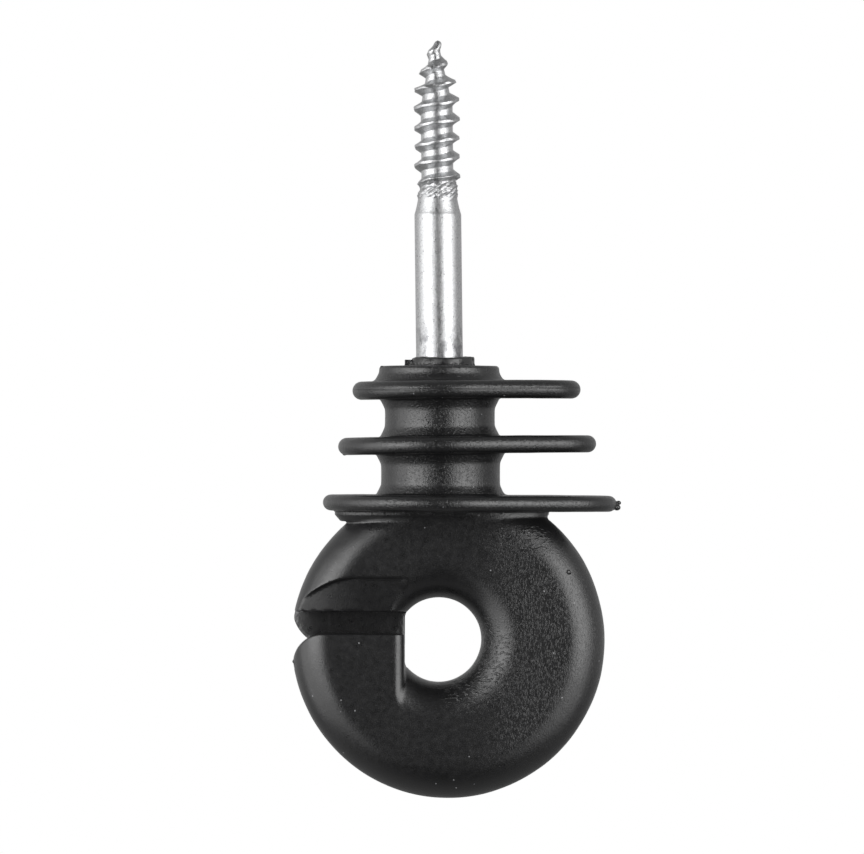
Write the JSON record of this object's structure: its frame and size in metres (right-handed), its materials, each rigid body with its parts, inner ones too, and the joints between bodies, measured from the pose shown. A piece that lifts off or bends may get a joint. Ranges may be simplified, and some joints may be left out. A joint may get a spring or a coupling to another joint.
{
  "type": "fence ring insulator",
  "caption": "Screw-in ring insulator: a wood screw moulded into a black plastic hub with watershed fins and a ring with a side slot that takes an electric fence wire.",
  "frame": {"origin": "on the screw's axis, in the plane of the collar's top, where the screw leaves the moulding and the moulding meets the post", "axes": "+Z along the screw towards its point; the ring lies in the XZ plane with its wire slot at -X and the long noses of the fins at +X; the front is -Y. In use on a vertical post the screw lies level."},
  "size_m": [0.0415, 0.03, 0.0968],
  "materials": {
    "zinc_plated_steel": "bright zinc plate, lightly spangled, with dull run-out and thread flanks",
    "black_polyethylene": "moulded satin black with a fine spark-eroded grain on the ring"
  },
  "bodies": {
    "root": {"screw": "zinc_plated_steel", "insulator_body": "black_polyethylene"}
  },
  "joints": []
}
